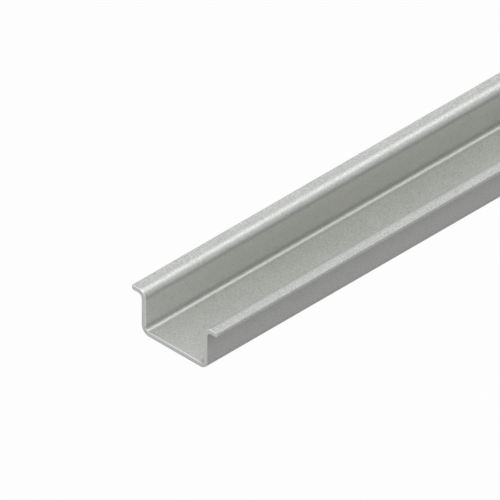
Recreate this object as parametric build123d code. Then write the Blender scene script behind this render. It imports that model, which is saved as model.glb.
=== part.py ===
from build123d import *
from math import isclose
import os

# A deep 35 mm top-hat mounting rail, roll-formed in one piece from galvanised steel strip.
# It has no slots. The strip makes nine stretches across the section: a flat base that
# screws to a panel, two upright webs, two flanges that point outwards, and the four bends
# between them. Clip-on terminals and breakers hook over the flanges.
#
# X runs along the rail, Y across it, and Z up from the mounting face. The origin is at the
# middle of the mounting face, where the bottom of the base touches the panel.

# Section sizes in millimetres
flange_span = 35.0
hat_width = 27.0
rail_height = 15.0
strip_thickness = 1.5
inner_bend_radius = 1.5

# The slit edges of the strip are the tips of the flanges. Slitting rolls their lower corner
# over and leaves the upper one sharp.
tip_roll_radius = 0.7

# Stock length. Both ends are sheared off from the channel side, which rolls the strip over
# on that side and leaves it sharp on the mounting side.
rail_length = 1000.0
shear_roll_radius = 0.25


def underside_path():
    """The mounting side of the strip, from one flange tip to the other."""
    tip = flange_span / 2
    web = hat_width / 2
    flange_underside = rail_height - strip_thickness
    outer_bend_radius = inner_bend_radius + strip_thickness
    return FilletPolyline(
        (-tip, flange_underside),
        (-web, flange_underside),
        (-web, 0),
        (web, 0),
        (web, flange_underside),
        (tip, flange_underside),
        radius=[inner_bend_radius, outer_bend_radius, outer_bend_radius, inner_bend_radius],
    )


def faces_the_channel(edge, underside):
    """Whether an edge of a cut end lies a strip's thickness away from the mounting side."""
    middle = edge @ 0.5
    distance = underside.distance_to(Vector(middle.Y, middle.Z))
    return isclose(distance, strip_thickness, rel_tol=0.01)


def rail():
    """The strip's section drawn out to the stock length, with both cut ends rolled over."""
    with BuildPart() as stock:
        with BuildSketch(Plane.YZ) as section:
            with BuildLine():
                underside = underside_path()
                offset(amount=strip_thickness, side=Side.LEFT)
            make_face()
            tips = section.vertices().group_by(Axis.X)
            for tip in (tips[0], tips[-1]):
                fillet(tip.sort_by(Axis.Y)[0], radius=tip_roll_radius)
        extrude(amount=rail_length / 2, both=True)
        cut_edges = stock.faces().filter_by(Axis.X).edges()
        rolled = [edge for edge in cut_edges if faces_the_channel(edge, underside)]
        fillet(rolled, radius=shear_roll_radius)
    return stock.part


os.makedirs("parts", exist_ok=True)
export_step(rail(), "parts/rail.step")
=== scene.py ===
import math

import bpy
import numpy as np
from mathutils import Matrix, Vector


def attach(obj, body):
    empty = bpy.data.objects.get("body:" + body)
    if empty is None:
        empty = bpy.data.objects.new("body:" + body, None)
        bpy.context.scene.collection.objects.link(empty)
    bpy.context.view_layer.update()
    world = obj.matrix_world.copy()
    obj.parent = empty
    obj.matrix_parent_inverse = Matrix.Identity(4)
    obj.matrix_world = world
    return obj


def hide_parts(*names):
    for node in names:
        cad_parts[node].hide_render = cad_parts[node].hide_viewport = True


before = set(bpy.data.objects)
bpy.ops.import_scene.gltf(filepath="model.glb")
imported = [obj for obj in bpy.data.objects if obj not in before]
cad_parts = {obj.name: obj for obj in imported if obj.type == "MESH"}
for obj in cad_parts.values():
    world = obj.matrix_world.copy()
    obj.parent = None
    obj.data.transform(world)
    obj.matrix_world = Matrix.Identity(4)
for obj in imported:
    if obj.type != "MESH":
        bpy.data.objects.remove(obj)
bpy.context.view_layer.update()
scene = bpy.context.scene
scene.view_settings.view_transform = "Standard"
print("frame loaded:", ", ".join(sorted(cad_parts)))


# The rail's sizes, in metres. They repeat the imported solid's own.
rail = {
    "length": 1.0,
    "height": 0.015,
    "flangeSpan": 0.035,
    "hatWidth": 0.027,
    "thickness": 0.0015,
    "innerBend": 0.0015,
    "tipRoll": 0.0007,       # lower corner of a flange tip, rolled over by the slitting
    "shearRoll": 0.00025,    # channel side of both cut ends, rolled over by the shear
    "crisp": 0.00003,        # the least rounding that a sharp edge still has
    "bendSteps": 18,         # faces round each bend, and below round each corner of a tip
    "tipSteps": 8,
    "endSteps": 6,           # faces round each rolled edge of a cut end
    "lengthSteps": 60,
    "flatSpots": (0.0, 0.03, 0.2, 0.5, 0.8, 0.97, 1.0),   # shares of a flat where it has points
}


def halfStripLine(sizes):
    # Middle line of the strip, from the middle of the base to where a flange tip's rounding starts.
    # On a flat, the point is the start plus a share of the flat's length along the heading.
    # On a bend, it is the bend's centre plus the radius at right angles to the turning heading.
    half = sizes["thickness"] / 2
    bend = sizes["innerBend"] + half
    web = sizes["hatWidth"] / 2 - half
    base = web - bend
    wall = sizes["height"] - sizes["thickness"] - 2 * bend
    lip = sizes["flangeSpan"] / 2 - sizes["tipRoll"] - web - bend
    stretches = (("flat", base), ("bend", 90), ("flat", wall), ("bend", -90), ("flat", lip))
    point = np.array([0.0, half])
    heading = 0.0
    points, headings = [], []
    for kind, amount in stretches:
        if kind == "flat":
            share = np.array(sizes["flatSpots"])[:, None]
            line = point + share * amount * np.array([math.cos(heading), math.sin(heading)])
            turn = np.full(len(line), heading)
        else:
            side = math.copysign(1.0, amount)
            turn = heading + np.linspace(0, math.radians(amount), sizes["bendSteps"] + 1)
            middle = point + side * bend * np.array([-math.sin(heading), math.cos(heading)])
            line = middle + side * bend * np.stack([np.sin(turn), -np.cos(turn)], axis=1)
        points.append(line if not points else line[1:])
        headings.append(turn if not headings else turn[1:])
        point, heading = line[-1], turn[-1]
    return np.concatenate(points), np.concatenate(headings)


def stripOutline(sizes, inset, trim):
    # Closed outlines of the section, one for each inset: the underside, one tip, the top side
    # and the other tip. A side is the middle line moved half the thickness along or against
    # its normal. The top side moves in by the inset, and the rest by the trim.
    halfLine, halfHeading = halfStripLine(sizes)
    line = np.concatenate([halfLine[:0:-1] * (-1, 1), halfLine])
    heading = np.concatenate([-halfHeading[:0:-1], halfHeading])
    normal = np.stack([-np.sin(heading), np.cos(heading)], axis=1)
    inset, trim = inset[:, None, None], trim[:, None, None]
    half = sizes["thickness"] / 2
    under, upper = line - (half - trim) * normal, line + (half - inset) * normal

    # A tip is a quarter round below and a small one above. Each is its radius along a
    # turning ray, from a middle that stands the radius inside the tip's edge and its side.
    angle = np.linspace(0, math.pi / 2, sizes["tipSteps"] + 1)
    corner = np.concatenate([angle - math.pi / 2, angle])[1:]
    tipRay = np.stack([np.cos(corner), np.sin(corner)], axis=1)
    isTop = (np.arange(len(corner)) >= sizes["tipSteps"])[:, None]
    radius = np.where(isTop, np.maximum(sizes["crisp"] - inset, 0), sizes["tipRoll"] - trim)
    across = sizes["flangeSpan"] / 2 - trim - radius
    rise = line[-1, 1] + np.where(isTop, half - inset - radius, radius + trim - half)
    tip = np.concatenate([across, rise], axis=2) + radius * tipRay

    outline = np.concatenate([under, tip, upper[:, ::-1], tip[:, ::-1] * (-1, 1)], axis=1)
    outward = np.concatenate([-normal, tipRay, normal[::-1], tipRay[::-1] * (-1, 1)])
    count = len(line)
    spine = np.concatenate([
        np.arange(count), np.full(len(tipRay), count - 1),
        np.arange(count)[::-1], np.zeros(len(tipRay), dtype=int),
    ])
    # Share of the thickness at each point, from the underside at 0 to the top side at 1.
    tipShare = (tip[0, :, 1] - line[-1, 1]) / sizes["thickness"] + 0.5
    share = np.concatenate([np.zeros(count), tipShare, np.ones(count), tipShare[::-1]])
    # The channel side of the outline is the top side, and each tip's ray that points straight up.
    facesUp = np.isclose(tipRay[:, 1], 1.0)
    isRolled = np.concatenate([
        np.zeros(count, dtype=bool), facesUp, np.ones(count, dtype=bool), facesUp[::-1],
    ])
    return outline, outward, line, spine, share, isRolled


def buildStrip(sizes):
    # The outline is carried along X. A point's normal leans towards a cut end by the arcsine
    # of one minus its distance from that end over the edge's radius, and the outline draws
    # in there by the radius times one minus the lean's cosine, which makes a quarter round.
    # Each end is closed from its last ring to the strip's middle line.
    reach, roll, crisp = sizes["length"] / 2, sizes["shearRoll"], sizes["crisp"]
    turn = np.linspace(math.pi / 2, 0, sizes["endSteps"] + 1)
    nearCut = np.unique(np.outer([crisp, roll], 1 - np.sin(turn)))
    along = np.concatenate([
        -reach + nearCut, np.linspace(roll - reach, reach - roll, sizes["lengthSteps"] + 1)[1:-1],
        (reach - nearCut)[::-1],
    ])
    side, fromEnd = np.sign(along), reach - np.abs(along)
    rolledLean = np.arcsin(np.clip(1 - fromEnd / roll, 0, 1))
    crispLean = np.arcsin(np.clip(1 - fromEnd / crisp, 0, 1))
    section, outward, line, spine, share, isRolled = stripOutline(
        sizes, roll * (1 - np.cos(rolledLean)), crisp * (1 - np.cos(crispLean)),
    )
    rings, spots = section.shape[:2]

    # Points of the surface, ring by ring, and their normals
    station = np.broadcast_to(along[:, None, None], (rings, spots, 1))
    wall = np.concatenate([station, section], axis=2)
    lean = np.where(isRolled, rolledLean[:, None], crispLean[:, None])[:, :, None]
    wallNormal = np.concatenate([side[:, None, None] * np.sin(lean), np.cos(lean) * outward], axis=2)

    # Points of both cut ends on the strip's middle line
    spinePoints = [np.column_stack([np.full(len(line), end), line]) for end in (-reach, reach)]
    spineNormal = [np.tile([end, 0.0, 0.0], (len(line), 1)) for end in (-1.0, 1.0)]
    points = np.concatenate([wall.reshape(-1, 3), *spinePoints])
    normals = np.concatenate([wallNormal.reshape(-1, 3), *spineNormal])

    ring, spot = np.meshgrid(np.arange(rings - 1), np.arange(spots), indexing="ij")
    after = (spot + 1) % spots
    sides = np.stack([
        ring * spots + spot, ring * spots + after,
        (ring + 1) * spots + after, (ring + 1) * spots + spot,
    ], axis=2).reshape(-1, 4)

    spot = np.arange(spots)
    after = (spot + 1) % spots
    first = rings * spots
    last = first + len(line)
    nearEnd = np.stack([after, spot, first + spine[spot], first + spine[after]], axis=1)
    edge = (rings - 1) * spots
    farEnd = np.stack([edge + spot, edge + after, last + spine[after], last + spine[spot]], axis=1)
    # Where two corners of an end's face meet in one point of the middle line, it is a triangle.
    faces = [list(dict.fromkeys(face)) for face in np.concatenate([sides, nearEnd, farEnd]).tolist()]

    mesh = bpy.data.meshes.new("galvanisedStrip")
    mesh.from_pydata(points.tolist(), [], faces)
    # Both cut faces are bare steel, and the rest is zinc.
    bare = np.zeros(len(faces), dtype=np.int32)
    bare[len(sides):] = 1
    mesh.polygons.foreach_set("material_index", bare)
    mesh.polygons.foreach_set("use_smooth", np.ones(len(faces), dtype=bool))
    # Where a point lies in the strip: the share of the thickness below it, and the distance
    # along the strip's middle line from the middle of the base.
    step = np.linalg.norm(np.diff(line, axis=0), axis=1)
    path = np.concatenate([[0.0], np.cumsum(step)])
    path = np.abs(path - path[-1] / 2)
    through = np.concatenate([np.tile(share, rings), np.full(2 * len(line), 0.5)])
    fromMiddle = np.concatenate([np.tile(path[spine], rings), path, path])
    for name, values in (("throughStrip", through), ("fromBaseMiddle", fromMiddle)):
        mesh.attributes.new(name, "FLOAT", "POINT").data.foreach_set("value", values)
    mesh.validate()
    mesh.normals_split_custom_set_from_vertices(normals)
    strip = bpy.data.objects.new("galvanisedStrip", mesh)
    scene.collection.objects.link(strip)
    return strip


def addNode(tree, kind, **sockets):
    # Adds a shader node and fills or links its inputs, which go by name or, as in "i0", by
    # place. A leading "set_" names a setting of the node.
    node = tree.nodes.new("ShaderNode" + kind)
    for name, value in sockets.items():
        if name.startswith("set_"):
            setattr(node, name[4:], value)
    for name, value in sockets.items():
        if name.startswith("set_"):
            continue
        key = int(name[1:]) if name[0] == "i" and name[1:].isdigit() else name.replace("_", " ")
        if isinstance(value, bpy.types.NodeSocket):
            tree.links.new(value, node.inputs[key])
        else:
            node.inputs[key].default_value = value
    return node


def newMaterial(name):
    # A material with an empty node tree.
    material = bpy.data.materials.new(name)
    material.use_nodes = True
    tree = material.node_tree
    tree.nodes.clear()
    return material, tree


def maths(tree, operation, *values):
    # The operation on the values, in their order.
    sockets = {f"i{place}": value for place, value in enumerate(values)}
    return addNode(tree, "Math", set_operation=operation, **sockets).outputs[0]


def spread(tree, value, low, high, toLow, toHigh, kind="LINEAR"):
    # Carries the range low to high over to toLow to toHigh, and stops at its ends.
    node = addNode(tree, "MapRange", set_interpolation_type=kind, Value=value)
    for key, bound in (("From Min", low), ("From Max", high), ("To Min", toLow), ("To Max", toHigh)):
        node.inputs[key].default_value = bound
    return node.outputs["Result"]


def varied(tree, tone, value, width):
    # The tone times one, less or more by half the width as the value runs from 0 to 1.
    return maths(tree, "MULTIPLY", tone, spread(tree, value, 0.0, 1.0, 1 - width / 2, 1 + width / 2))


def noise(tree, place, size, detail, roughness):
    # Fractal noise from 0 to 1, whose widest waves have the given size.
    node = addNode(tree, "TexNoise", Vector=place, Scale=1 / size, Detail=detail, Roughness=roughness)
    return node.outputs["Fac"]


def cells(tree, place, size):
    # Cells of the given size: the distance from a cell's middle, as a share of the size, and
    # three numbers from 0 to 1 that the cell has for itself.
    node = addNode(tree, "TexVoronoi", Vector=place, Scale=1 / size)
    numbers = addNode(tree, "SeparateColor", Color=node.outputs["Color"])
    return node.outputs["Distance"], numbers.outputs


def stripPlace(tree):
    # Share of the thickness, and distance along the middle line from the base's middle.
    return [
        addNode(tree, "Attribute", set_attribute_name=name).outputs["Fac"]
        for name in ("throughStrip", "fromBaseMiddle")
    ]


def alongX(tree, place):
    # Distance from the middle of the rail, along it.
    return addNode(tree, "SeparateXYZ", Vector=place).outputs["X"]


def finishMetal(tree, colour, metallic, roughness, height, depth):
    # Metal of the given colour and roughness, raised by the depth times the height map.
    bump = addNode(tree, "Bump", Height=height, Distance=depth, Strength=1.0)
    shader = addNode(
        tree, "BsdfPrincipled", Base_Color=colour, Metallic=metallic,
        Roughness=roughness, Normal=bump.outputs["Normal"],
    )
    addNode(tree, "OutputMaterial", Surface=shader.outputs[0])


# Sizes, distances and the bump's depth are in metres. Other spreads and depths are shares of the
# colour, and the roughness goes up and down by its own spread.
zincLook = {
    "colour": (0.640, 0.652, 0.634),
    "metallic": 0.9,
    "roughness": 0.5,
    "roughnessSpread": 0.06,
    "noiseRoughness": 0.6,
    "cloudSize": 0.006,
    "cloudDetail": 3.0,
    "cloudSpread": 0.1,
    "spangleSize": 0.0022,
    "spangleSpread": 0.02,
    "spangleTints": ((0.997, 1.0, 0.990), (1.0, 1.0, 1.0), (1.0, 0.999, 1.008), (1.003, 1.0, 0.996)),
    "grainSize": 0.00045,
    "grainDetail": 2.0,
    "grainSpread": 0.75,
    # The rolls smooth the grain on the webs' channel side, and leave more of it on the flanges.
    "smoothed": {"middle": 0.0185, "full": 0.0045, "reach": 0.0065, "webs": 0.5, "flanges": 1.35},
    "speckSize": 0.0011,
    "speckShare": 0.22,          # share of the cells that hold a dark speck
    "speckReach": 0.32,          # a speck's radius, as a share of its cell
    "speckDepth": 0.32,
    "bumpDepth": 0.00001,
    "channelSkin": 0.9,          # share of the thickness from which on the channel side counts
    "cutEdgeReach": 0.00035,     # painted highlight and lower roughness along the edge where the shear rolls the strip over
    "paintedHighlightLift": 0.5,
    "cutEdgeRoughness": 0.4,
    # Painted shade: each stretch darkens the colour, deep in the channel, in the crease of its lower
    # bends, over the highlight on its upper bends, on the mounting side and under the flanges. Each is
    # a side of the strip, the place of its middle along the strip, how far from there it is full, how
    # far it reaches, how much it takes away, and whether it fades out near the cuts.
    "paintedShade": {
        "channel": {
            "side": 1, "middle": 0.0, "full": 0.018, "reach": 0.026, "depth": 0.12, "fadesAtCuts": True,
        },
        "lowerBends": {
            "side": 1, "middle": 0.0121, "full": 0.0006, "reach": 0.003, "depth": 0.17, "fadesAtCuts": False,
        },
        "upperBends": {
            "side": 1, "middle": 0.0247, "full": 0.0008, "reach": 0.0024, "depth": 0.13, "fadesAtCuts": False,
        },
        "mountingSide": {
            "side": 0, "middle": 0.0, "full": 0.0265, "reach": 0.0285, "depth": 0.12, "fadesAtCuts": False,
        },
        "underFlanges": {
            "side": 0, "middle": 0.0248, "full": 0.0, "reach": 0.009, "depth": 0.15, "fadesAtCuts": False,
        },
    },
    "cutFadeReach": 0.06,          # painted shade that fades at the cuts grows with the distance from a cut, up to this far
    "shadeTint": (1.0, 1.0, 0.972),
    "shadeTintFull": 0.12,             # the channel's painted shade at which the colour has the tint's whole strength
}


def paintedShadeOf(tree, fromCut, stretch):
    # Painted shade: the stretch's depth, on its own side of the strip, faded out with the distance from
    # its middle. One that fades at the cuts grows with the square root of the distance from a cut.
    through, along = stripPlace(tree)
    away = maths(tree, "ABSOLUTE", maths(tree, "SUBTRACT", along, stretch["middle"]))
    shade = spread(tree, away, stretch["full"], stretch["reach"], stretch["depth"], 0.0, "SMOOTHSTEP")
    if stretch["fadesAtCuts"]:
        shade = maths(tree, "MULTIPLY", shade, maths(tree, "SQRT", fromCut))
    side = stretch["side"]
    return maths(tree, "MULTIPLY", shade, spread(tree, through, 1 - side, side, 0.0, 1.0))


def grainShare(tree, smoothed):
    # One on the mounting side. On the channel side, the webs' share near the middle of a web,
    # growing to one beyond it and to the flanges' share out there.
    through, along = stripPlace(tree)
    away = maths(tree, "ABSOLUTE", maths(tree, "SUBTRACT", along, smoothed["middle"]))
    web = spread(tree, away, smoothed["full"], smoothed["reach"], smoothed["webs"], 1.0)
    webEnd = smoothed["middle"] + smoothed["reach"]
    flangeStart = webEnd + smoothed["reach"] - smoothed["full"]
    flange = spread(tree, along, webEnd, flangeStart, 1.0, smoothed["flanges"])
    share = maths(tree, "SUBTRACT", maths(tree, "MULTIPLY", web, flange), 1.0)
    return maths(tree, "MULTIPLY_ADD", through, share, 1.0)


def cutEdgeRubAndHighlight(tree, fromMiddle, look, sizes):
    # Where the cut edge gets its painted highlight and lower roughness: from 0 to 1 towards a cut,
    # within the reach, on the channel side alone.
    start = sizes["length"] / 2 - look["cutEdgeReach"]
    nearCut = spread(tree, fromMiddle, start, start + look["cutEdgeReach"] / 2, 0.0, 1.0)
    channelSide = spread(tree, stripPlace(tree)[0], look["channelSkin"], 1.0, 0.0, 1.0)
    return maths(tree, "MULTIPLY", nearCut, channelSide)


def tintRamp(tree, value, tints):
    # Goes evenly from the first tint to the last as the value runs from 0 to 1.
    ramp = addNode(tree, "ValToRGB", Fac=value)
    stops = ramp.color_ramp.elements
    while len(stops) < len(tints):
        stops.new(0.5)
    for number, (stop, tint) in enumerate(zip(stops, tints)):
        stop.position = number / (len(tints) - 1)
        stop.color = (*tint, 1)
    return ramp.outputs[0]


def zincMaterial(look, sizes):
    # Colour: the zinc's own, less the painted shade of each stretch, times wide clouds, a shade and a
    # tint for each spangle, fine grain, sparse dark specks, a painted highlight on the cut edge and a
    # tint that follows the channel's painted shade.
    # Roughness: the clouds' share of its spread, and less on the rubbed cut edge.
    material, tree = newMaterial("galvanisedZinc")
    place = addNode(tree, "TexCoord").outputs["Object"]
    cloud = noise(tree, place, look["cloudSize"], look["cloudDetail"], look["noiseRoughness"])
    grain = noise(tree, place, look["grainSize"], look["grainDetail"], look["noiseRoughness"])
    spangle = cells(tree, place, look["spangleSize"])[1]
    fromSpeck, chance = cells(tree, place, look["speckSize"])
    isSpeck = maths(tree, "LESS_THAN", chance[0], look["speckShare"])
    speck = spread(tree, fromSpeck, 0.0, look["speckReach"], look["speckDepth"], 0.0)
    fromMiddle = maths(tree, "ABSOLUTE", alongX(tree, place))
    cut = sizes["length"] / 2
    fromCut = spread(tree, fromMiddle, cut, cut - look["cutFadeReach"], 0.0, 1.0)
    rubAndHighlight = cutEdgeRubAndHighlight(tree, fromMiddle, look, sizes)

    # Painted shade of each stretch, taken off the colour below.
    paintedShades = {name: paintedShadeOf(tree, fromCut, stretch) for name, stretch in look["paintedShade"].items()}
    tone = 1.0
    for shade in paintedShades.values():
        tone = maths(tree, "SUBTRACT", tone, shade)
    tone = varied(tree, tone, cloud, look["cloudSpread"])
    tone = varied(tree, tone, spangle[1], look["spangleSpread"])
    grit = maths(tree, "MULTIPLY", maths(tree, "SUBTRACT", grain, 0.5), look["grainSpread"])
    grit = maths(tree, "MULTIPLY_ADD", grit, grainShare(tree, look["smoothed"]), 1.0)
    tone = maths(tree, "MULTIPLY", tone, grit)
    speck = maths(tree, "SUBTRACT", 1.0, maths(tree, "MULTIPLY", speck, isSpeck))
    tone = maths(tree, "MULTIPLY", tone, speck)
    # Painted highlight along the cut edge: the colour is lifted there.
    lift = spread(tree, rubAndHighlight, 0.0, 1.0, 1.0, 1 + look["paintedHighlightLift"])
    tone = maths(tree, "MULTIPLY", tone, lift)

    colour = addNode(tree, "VectorMath", set_operation="SCALE", i0=look["colour"], Scale=tone)
    tint = tintRamp(tree, spangle[0], look["spangleTints"])
    colour = addNode(tree, "VectorMath", set_operation="MULTIPLY", i0=colour.outputs[0], i1=tint)
    # A faint yellow tint wherever the channel has painted shade.
    shadeTinted = spread(tree, paintedShades["channel"], 0.0, look["shadeTintFull"], 0.0, 1.0)
    colour = addNode(
        tree, "Mix", set_data_type="RGBA", set_blend_type="MULTIPLY",
        i0=shadeTinted, i6=colour.outputs[0], i7=(*look["shadeTint"], 1),
    )

    low, high = look["roughness"] - look["roughnessSpread"], look["roughness"] + look["roughnessSpread"]
    rough = spread(tree, cloud, 0.0, 1.0, low, high)
    rub = spread(tree, rubAndHighlight, 0.0, 1.0, 0.0, look["cutEdgeRoughness"] - look["roughness"])
    rough = maths(tree, "ADD", rough, rub)
    finishMetal(tree, colour.outputs[2], look["metallic"], rough, grain, look["bumpDepth"])
    return material


cutLook = {
    "colour": (0.84, 0.845, 0.835),
    "metallic": 1.0,
    "roughness": 0.42,
    "roughnessSpread": 0.08,
    "scoreSize": 0.00009,        # metres between the shear's marks, which run through the strip
    "scoreStretch": 0.12,        # how far the pattern changes along a mark, through the thickness
    "scoreDetail": 2.0,
    "scoreRoughness": 0.5,
    "scoreSpread": 0.25,
    "bumpDepth": 0.000006,
    "underEdge": 0.3,            # share of the thickness, from the mounting side, over which the face is darker
    "underShade": 0.06,
}


def cutMaterial(look):
    # Colour: bare steel, times the shear's fine marks, and a little darker towards the mounting side of
    # the thickness. The marks' place is the distance along the strip over their size, the stretched
    # share of the thickness, and which end it is.
    material, tree = newMaterial("cutSteel")
    place = addNode(tree, "TexCoord").outputs["Object"]
    through, along = stripPlace(tree)
    lane = maths(tree, "DIVIDE", along, look["scoreSize"])
    across = maths(tree, "MULTIPLY", through, look["scoreStretch"])
    marks = addNode(tree, "CombineXYZ", i0=lane, i1=across, i2=alongX(tree, place))
    score = noise(tree, marks.outputs[0], 1.0, look["scoreDetail"], look["scoreRoughness"])
    mountingSideTone = spread(tree, through, 0.0, look["underEdge"], 1 - look["underShade"], 1.0, "SMOOTHSTEP")
    tone = varied(tree, mountingSideTone, score, look["scoreSpread"])
    colour = addNode(tree, "VectorMath", set_operation="SCALE", i0=look["colour"], Scale=tone)
    low, high = look["roughness"] - look["roughnessSpread"], look["roughness"] + look["roughnessSpread"]
    rough = spread(tree, score, 0.0, 1.0, low, high)
    finishMetal(tree, colour.outputs[0], look["metallic"], rough, score, look["bumpDepth"])
    return material


strip = buildStrip(rail)
strip.data.materials.append(zincMaterial(zincLook, rail))
strip.data.materials.append(cutMaterial(cutLook))
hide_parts("rail")
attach(strip, "root")
print("strip built:", len(strip.data.polygons), "faces")


floorLook = {
    "side": 12.0,                # metres, as is the drop below the rail
    "drop": 0.0001,
    "colour": 0.25,
    "whiteToCamera": 0.98,       # share of plain white in what the camera sees of the floor
    "whiteToMetal": 0.42,        # the same in what the metal mirrors
}


def buildFloor(look):
    # A square just under the rail. What the camera sees of it is mostly plain white, and what
    # the metal mirrors partly. The rest is lit, which keeps the rail's shadow.
    half, drop = look["side"] / 2, look["drop"]
    corners = [(-half, -half, -drop), (half, -half, -drop), (half, half, -drop), (-half, half, -drop)]
    mesh = bpy.data.meshes.new("floor")
    mesh.from_pydata(corners, [], [(0, 1, 2, 3)])
    floor = bpy.data.objects.new("floor", mesh)
    scene.collection.objects.link(floor)
    material, tree = newMaterial("paleFloor")
    rays = addNode(tree, "LightPath").outputs
    toCamera = maths(tree, "MULTIPLY", rays["Is Camera Ray"], look["whiteToCamera"])
    toMetal = maths(tree, "MAXIMUM", rays["Is Glossy Ray"], rays["Is Transmission Ray"])
    toMetal = maths(tree, "MULTIPLY", toMetal, look["whiteToMetal"])
    share = maths(tree, "MAXIMUM", toCamera, toMetal)
    lit = addNode(tree, "BsdfDiffuse", Color=(look["colour"],) * 3 + (1,))
    white = addNode(tree, "Emission", Color=(1, 1, 1, 1), Strength=1.0)
    mix = addNode(tree, "MixShader", i0=share, i1=lit.outputs[0], i2=white.outputs[0])
    addNode(tree, "OutputMaterial", Surface=mix.outputs[0])
    mesh.materials.append(material)
    return floor


buildFloor(floorLook)
print("floor laid")


# Each softbox hangs in the direction given by its azimuth and its height above the horizon, in
# degrees, seen from the centre, and faces it. Azimuth 0 is +Y, and 90 is +X. The sides and
# distances are in metres. The world's level is a share of white.
studio = {
    "world": 0.8,
    "centre": (-0.42, 0.0, 0.01),
    "softboxes": {
        "keyPanel": {
            "azimuth": 112, "height": 51, "distance": 2.5, "side": 0.8, "strength": 0.9,
        },
        "widePanel": {
            "azimuth": 122, "height": 63, "distance": 2.5, "side": 1.4, "strength": 2.1,
        },
    },
}


def hangSoftbox(name, box, centre):
    # Place: the centre plus the distance along the direction. The lamp's watts are its
    # strength times pi times its area.
    azimuth, height = math.radians(box["azimuth"]), math.radians(box["height"])
    level = math.cos(height)
    toward = Vector((math.sin(azimuth) * level, math.cos(azimuth) * level, math.sin(height)))
    lamp = bpy.data.lights.new(name, "AREA")
    lamp.shape = "SQUARE"
    lamp.size = box["side"]
    lamp.energy = box["strength"] * math.pi * box["side"] ** 2
    holder = bpy.data.objects.new(name, lamp)
    holder.location = Vector(centre) + toward * box["distance"]
    holder.rotation_euler = toward.to_track_quat("Z", "Y").to_euler()
    scene.collection.objects.link(holder)
    return holder


def lightStudio(plan):
    # The softboxes, and an even world that the camera sees as plain white.
    for name, box in plan["softboxes"].items():
        hangSoftbox(name, box, plan["centre"])
    world = bpy.data.worlds.new("studio")
    world.use_nodes = True
    tree = world.node_tree
    tree.nodes.clear()
    rays = addNode(tree, "LightPath")
    light = addNode(tree, "Background", Color=(1, 1, 1, 1), Strength=plan["world"])
    white = addNode(tree, "Background", Color=(1, 1, 1, 1), Strength=1.0)
    mix = addNode(
        tree, "MixShader", i0=rays.outputs["Is Camera Ray"], i1=light.outputs[0], i2=white.outputs[0],
    )
    addNode(tree, "OutputWorld", Surface=mix.outputs[0])
    scene.world = world


lightStudio(studio)
print("studio lit")


# The photograph is an exact isometric view, with no perspective.
photoView = {
    "side": 500,                       # pixels
    "pixelsPerMetre": 3446.0,
    "nearEnd": (174.6, 351.59),        # where the middle of the near end's foot stands, in pixels
    "azimuth": -45.0,
    "elevation": math.degrees(math.atan(math.sqrt(0.5))),
    "distance": 3.0,
    "clip": (0.1, 20),
}


def placeCamera(view, sizes):
    # The target is the near end's foot plus the shift from its pixel to the photograph's
    # middle, along the picture's right and up directions.
    azimuth, elevation = math.radians(view["azimuth"]), math.radians(view["elevation"])
    level = math.cos(elevation)
    back = Vector((math.sin(azimuth) * level, -math.cos(azimuth) * level, math.sin(elevation)))
    right = Vector((math.cos(azimuth), math.sin(azimuth), 0))
    up = back.cross(right)
    middle = view["side"] / 2
    across = (middle - view["nearEnd"][0]) / view["pixelsPerMetre"]
    rise = (view["nearEnd"][1] - middle) / view["pixelsPerMetre"]
    target = Vector((-sizes["length"] / 2, 0, 0)) + right * across + up * rise
    lens = bpy.data.cameras.new("photoCamera")
    lens.type = "ORTHO"
    lens.ortho_scale = view["side"] / view["pixelsPerMetre"]
    lens.clip_start, lens.clip_end = view["clip"]
    camera = bpy.data.objects.new("photoCamera", lens)
    turn = Matrix((right, up, back)).transposed().to_4x4()
    camera.matrix_world = Matrix.Translation(target + back * view["distance"]) @ turn
    scene.collection.objects.link(camera)
    scene.camera = camera


placeCamera(photoView, rail)
print("camera placed")
